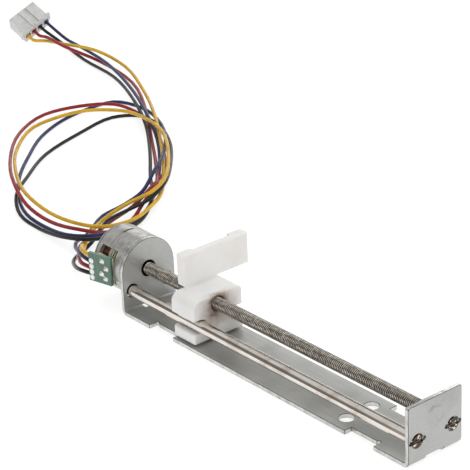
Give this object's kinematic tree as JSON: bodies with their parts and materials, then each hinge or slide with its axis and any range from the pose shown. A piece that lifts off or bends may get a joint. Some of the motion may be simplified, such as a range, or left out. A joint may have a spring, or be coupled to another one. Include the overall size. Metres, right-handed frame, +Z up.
{
  "type": "stepper motor linear slide",
  "caption": "Small linear slide: a bent steel bracket with guide rods and a lead screw, a white moulded carriage with an upright arm, a round stepper motor, and leads to a connector.",
  "frame": {"origin": "centre of the bracket's underside", "axes": "+X along the rods, away from the motor; +Y across the bracket, towards the arm's overhang; +Z up from the mounting face"},
  "size_m": [0.2748, 0.1033, 0.02],
  "materials": {
    "plated_steel": "satin zinc plate",
    "ground_steel": "ground and polished",
    "screw_steel": "rolled thread, greased",
    "drawn_steel": "drawn and plated",
    "white_acetal": "moulded, satin",
    "spool_plastic": "moulded",
    "board_laminate": "solder resist",
    "winding_copper": "enamelled wire",
    "magnet_ferrite": "sintered",
    "bush_bronze": "sintered and oiled",
    "tinned_metal": "tinned",
    "connector_nylon": "moulded",
    "insulation_yellow": "extruded",
    "insulation_red": "extruded",
    "insulation_black": "extruded",
    "insulation_blue": "extruded"
  },
  "bodies": {
    "root": {"bracket": "plated_steel", "guide_rod_front": "ground_steel", "guide_rod_rear": "ground_steel", "end_bearing": "white_acetal", "thrust_ball": "ground_steel", "can_front": "drawn_steel", "can_rear": "drawn_steel", "yoke_front": "drawn_steel", "yoke_rear": "drawn_steel", "bobbin_front": "spool_plastic", "bobbin_rear": "spool_plastic", "coil_front": "winding_copper", "coil_rear": "winding_copper", "front_bush": "bush_bronze", "rear_bush": "bush_bronze", "spring_washer": "drawn_steel", "rear_cover": "drawn_steel", "pcb": "board_laminate", "terminal_block": "spool_plastic", "terminal_pin_1": "tinned_metal", "terminal_pin_2": "tinned_metal", "terminal_pin_3": "tinned_metal", "terminal_pin_4": "tinned_metal", "wire_yellow": "insulation_yellow", "wire_red": "insulation_red", "wire_black": "insulation_black", "wire_blue": "insulation_blue", "connector_housing": "connector_nylon", "contact_1": "tinned_metal", "contact_2": "tinned_metal", "contact_3": "tinned_metal", "contact_4": "tinned_metal"},
    "screw": {"lead_screw": "screw_steel", "rotor_magnet": "magnet_ferrite", "rotor_hub": "spool_plastic"},
    "carriage": {"carriage": "white_acetal"}
  },
  "joints": [
    {"name": "screw_spin", "type": "hinge", "parent": "root", "child": "screw", "pos_m": [0, 0, 0.0097], "axis": [1, 0, 0], "range_deg": [-47521, 10801]},
    {"name": "carriage_slide", "type": "slide", "parent": "root", "child": "carriage", "axis": [1, 0, 0], "range_m": [-0.015, 0.066]}
  ],
  "couplings": [
    {"joint": "screw_spin", "follows": "carriage_slide", "rad_per_m": -12566}
  ]
}
